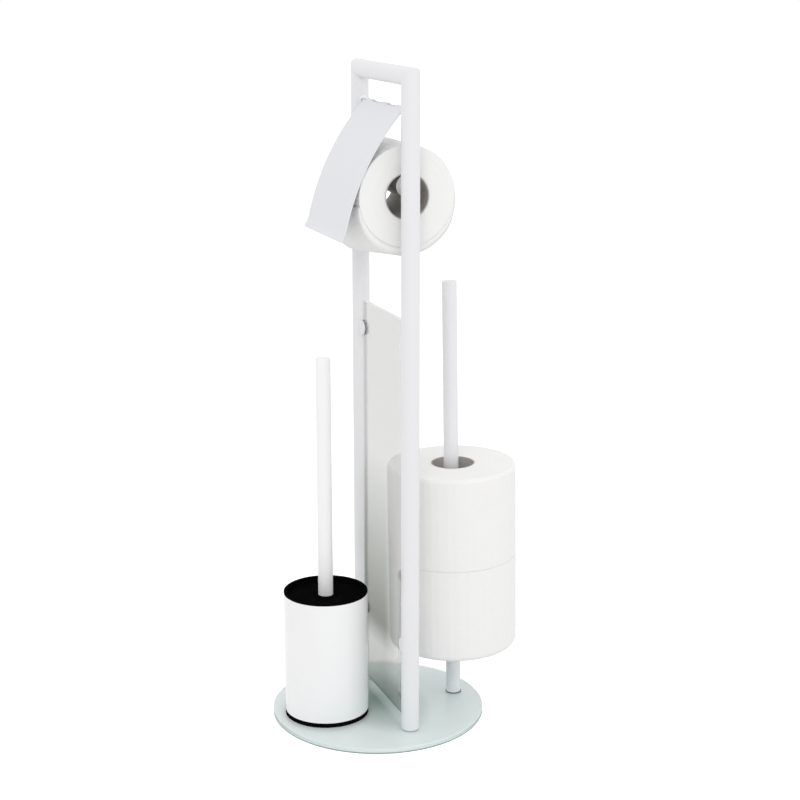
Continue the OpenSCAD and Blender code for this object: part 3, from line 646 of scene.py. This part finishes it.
# Angles in degrees where the loose layers start and end, 0 at the back and -90 below
SLACK_START = 15.0
SLACK_END = -170.0
SLACK_STEPS = 110
SLACK_COLUMNS = 64
# How deep the loose layers reach into the roll, and how much they are set in at each end
SLACK_OVERLAP = 3 * MM
SLACK_MARGIN = 0.3 * MM
# Sag in millimetres by angle at the near end of the roll, and what the far end adds to it
NEAR_SAG = [(15, -0.3), (0, 0.0), (-10, 1.0), (-20, 2.1), (-30, 3.7), (-42, 5.0),
            (-60, 6.1), (-80, 7.4), (-100, 8.2), (-125, 8.0), (-172, 0.3)]
FAR_SAG = [(-72, 0.0), (-84, 5.5), (-97, 11.0), (-112, 11.0), (-130, 7.5),
           (-150, 2.5), (-172, 0.0)]
# Raggedness of the torn free edge in degrees, and waves of the layers
TORN_EDGE = 1.6
SLACK_WAVE = 0.5 * MM


def between(stops, place):
    """Value at a place between stops of (place, value) whose places go down."""
    for (a, low), (b, high) in zip(stops, stops[1:]):
        if place >= b:
            return low + (high - low) * (a - place) / (a - b)
    return stops[-1][1]


def sag(turn, share):
    """How far the loose layers hang off the roll at an angle in degrees. share is 1 at the near
    end of the roll and 0 at the far end, where they hang lowest."""
    return (between(NEAR_SAG, turn) + between(FAR_SAG, turn) * (1 - share)) * MM


def slack_row(t, torn):
    """Points of the loose layers at a share t of their way round, along their outer face and back
    along their inner one."""
    half = ROLL_HALF.x - SLACK_MARGIN
    outer = ROLL_HALF.z
    across = shares(SLACK_COLUMNS)
    points = []
    for k, share in enumerate(across + across[::-1]):
        x = (2 * share - 1) * half
        ragged = torn * noise.noise(Vector((x / (3 * MM), 7.3, 0)))
        turn = SLACK_START + (SLACK_END - SLACK_START) * t + ragged
        wave = SLACK_WAVE * t * noise.noise(Vector((x / (22 * MM), turn / 14, 3.1)))
        radius = outer + sag(turn, share) + wave if k < SLACK_COLUMNS else outer - SLACK_OVERLAP
        points.append(place_flat(ROLL_MID, radius, math.radians(turn), x))
    return points


def make_slack_sheet(material):
    """Loose outer layers of the roll in use, which sag below it, with their torn free edge."""
    points = []
    for i, t in enumerate(shares(SLACK_STEPS)):
        points += slack_row(t, TORN_EDGE if i == SLACK_STEPS - 1 else 0.0)
    loop = 2 * SLACK_COLUMNS
    faces = [tuple(reversed(f)) for f in ring_faces(SLACK_STEPS, loop, False)]
    faces.append(tuple(range(loop)))
    faces.append(tuple(reversed(range((SLACK_STEPS - 1) * loop, SLACK_STEPS * loop))))
    mesh_piece("loose_sheet", points, faces, material, "root")


# Brush head

BRUSH_ROWS = 26
TUFTS_ROUND = 34
HUB_R = 9.0 * MM
# Room between the outermost rows and the ends of the head
HEAD_MARGIN = 6 * MM
# Room of a strand's middle line inside the ends of the head, and of its tip inside its side
END_ROOM = 0.5 * MM
TIP_ROOM = 0.4 * MM
# Angle in degrees by which the outermost rows fan out
FAN_ANGLE = 22
LARGEST_BEND = 1.2 * MM
STRAND_SIDES = 5
# Stations of a strand: share of its length, and radius in millimetres
STRAND = [(0.0, 0.42), (0.5, 0.36), (0.92, 0.28), (1.0, 0.14)]


def add_strand(points, faces, base, aim, length, bend):
    """Adds a tapered strand from base along aim, bent to its side and kept inside the head."""
    low, high = HEAD_MID.z - HEAD_HALF.z, HEAD_MID.z + HEAD_HALF.z
    side = aim.cross(Vector((0, 0, 1))).normalized()
    up = side.cross(aim)
    start = len(points)
    for share, radius in STRAND:
        centre = base + aim * length * share + side * bend * share ** 2
        centre.z = min(max(centre.z, low + END_ROOM), high - END_ROOM)
        for k in range(STRAND_SIDES):
            a = 2 * math.pi * k / STRAND_SIDES
            points.append(tuple(centre + (side * math.cos(a) + up * math.sin(a)) * radius * MM))
    for n in range(len(STRAND) - 1):
        ring = start + n * STRAND_SIDES
        for k in range(STRAND_SIDES):
            a, b = ring + k, ring + (k + 1) % STRAND_SIDES
            faces.append((a, b, b + STRAND_SIDES, a + STRAND_SIDES))
    last = start + (len(STRAND) - 1) * STRAND_SIDES
    faces.append(tuple(start + k for k in reversed(range(STRAND_SIDES))))
    faces.append(tuple(last + k for k in range(STRAND_SIDES)))


def make_bristles(material):
    """Tufts of tapered nylon strands round the core of the brush, with a domed outline."""
    source = random.Random(11)
    points, faces = [], []
    for j in range(BRUSH_ROWS):
        share = (j + 0.5) / BRUSH_ROWS * 2 - 1
        root_z = HEAD_MID.z + share * (HEAD_HALF.z - HEAD_MARGIN)
        root = Vector((HEAD_MID.x, HEAD_MID.y, root_z))
        full = (HEAD_HALF.x - HUB_R) * (0.66 + 0.33 * math.sqrt(1 - share * share)) - TIP_ROOM
        for i in range(TUFTS_ROUND):
            turn = 2 * math.pi * (i + 0.5 * (j % 2)) / TUFTS_ROUND + source.uniform(-0.05, 0.05)
            tilt = math.radians(FAN_ANGLE * share + source.uniform(-3, 3))
            length = full * source.uniform(0.95, 1.0)
            bend = source.uniform(-1, 1) * LARGEST_BEND
            out = Vector((math.cos(turn), math.sin(turn), 0))
            aim = (out * math.cos(tilt) + Vector((0, 0, math.sin(tilt)))).normalized()
            add_strand(points, faces, root + out * HUB_R, aim, length, bend)
    piece = mesh_piece("bristle_tufts", points, faces, material, "brush")
    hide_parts("brush_bristles")


make_camera()
make_world()
make_floor()
make_lamp("key", **KEY_LAMP)
make_lamp("fill", **FILL_LAMP)
finishes = make_materials()
dress_nodes(finishes)
paper = finishes["tissue"]
make_roll("roll_paper", "paper_roll", "roll", paper, place_flat, USED_RIMS, 3.0)
make_roll("spare_paper_lower", "spare_roll_lower", "spare_lower", paper,
          place_upright, LOWER_RIMS, 11.0)
make_roll("spare_paper_upper", "spare_roll_upper", "spare_upper", paper,
          place_upright, UPPER_RIMS, 23.0)
make_slack_sheet(paper)
make_bristles(finishes["bristle"])

bpy.context.scene.view_settings.view_transform = "Standard"
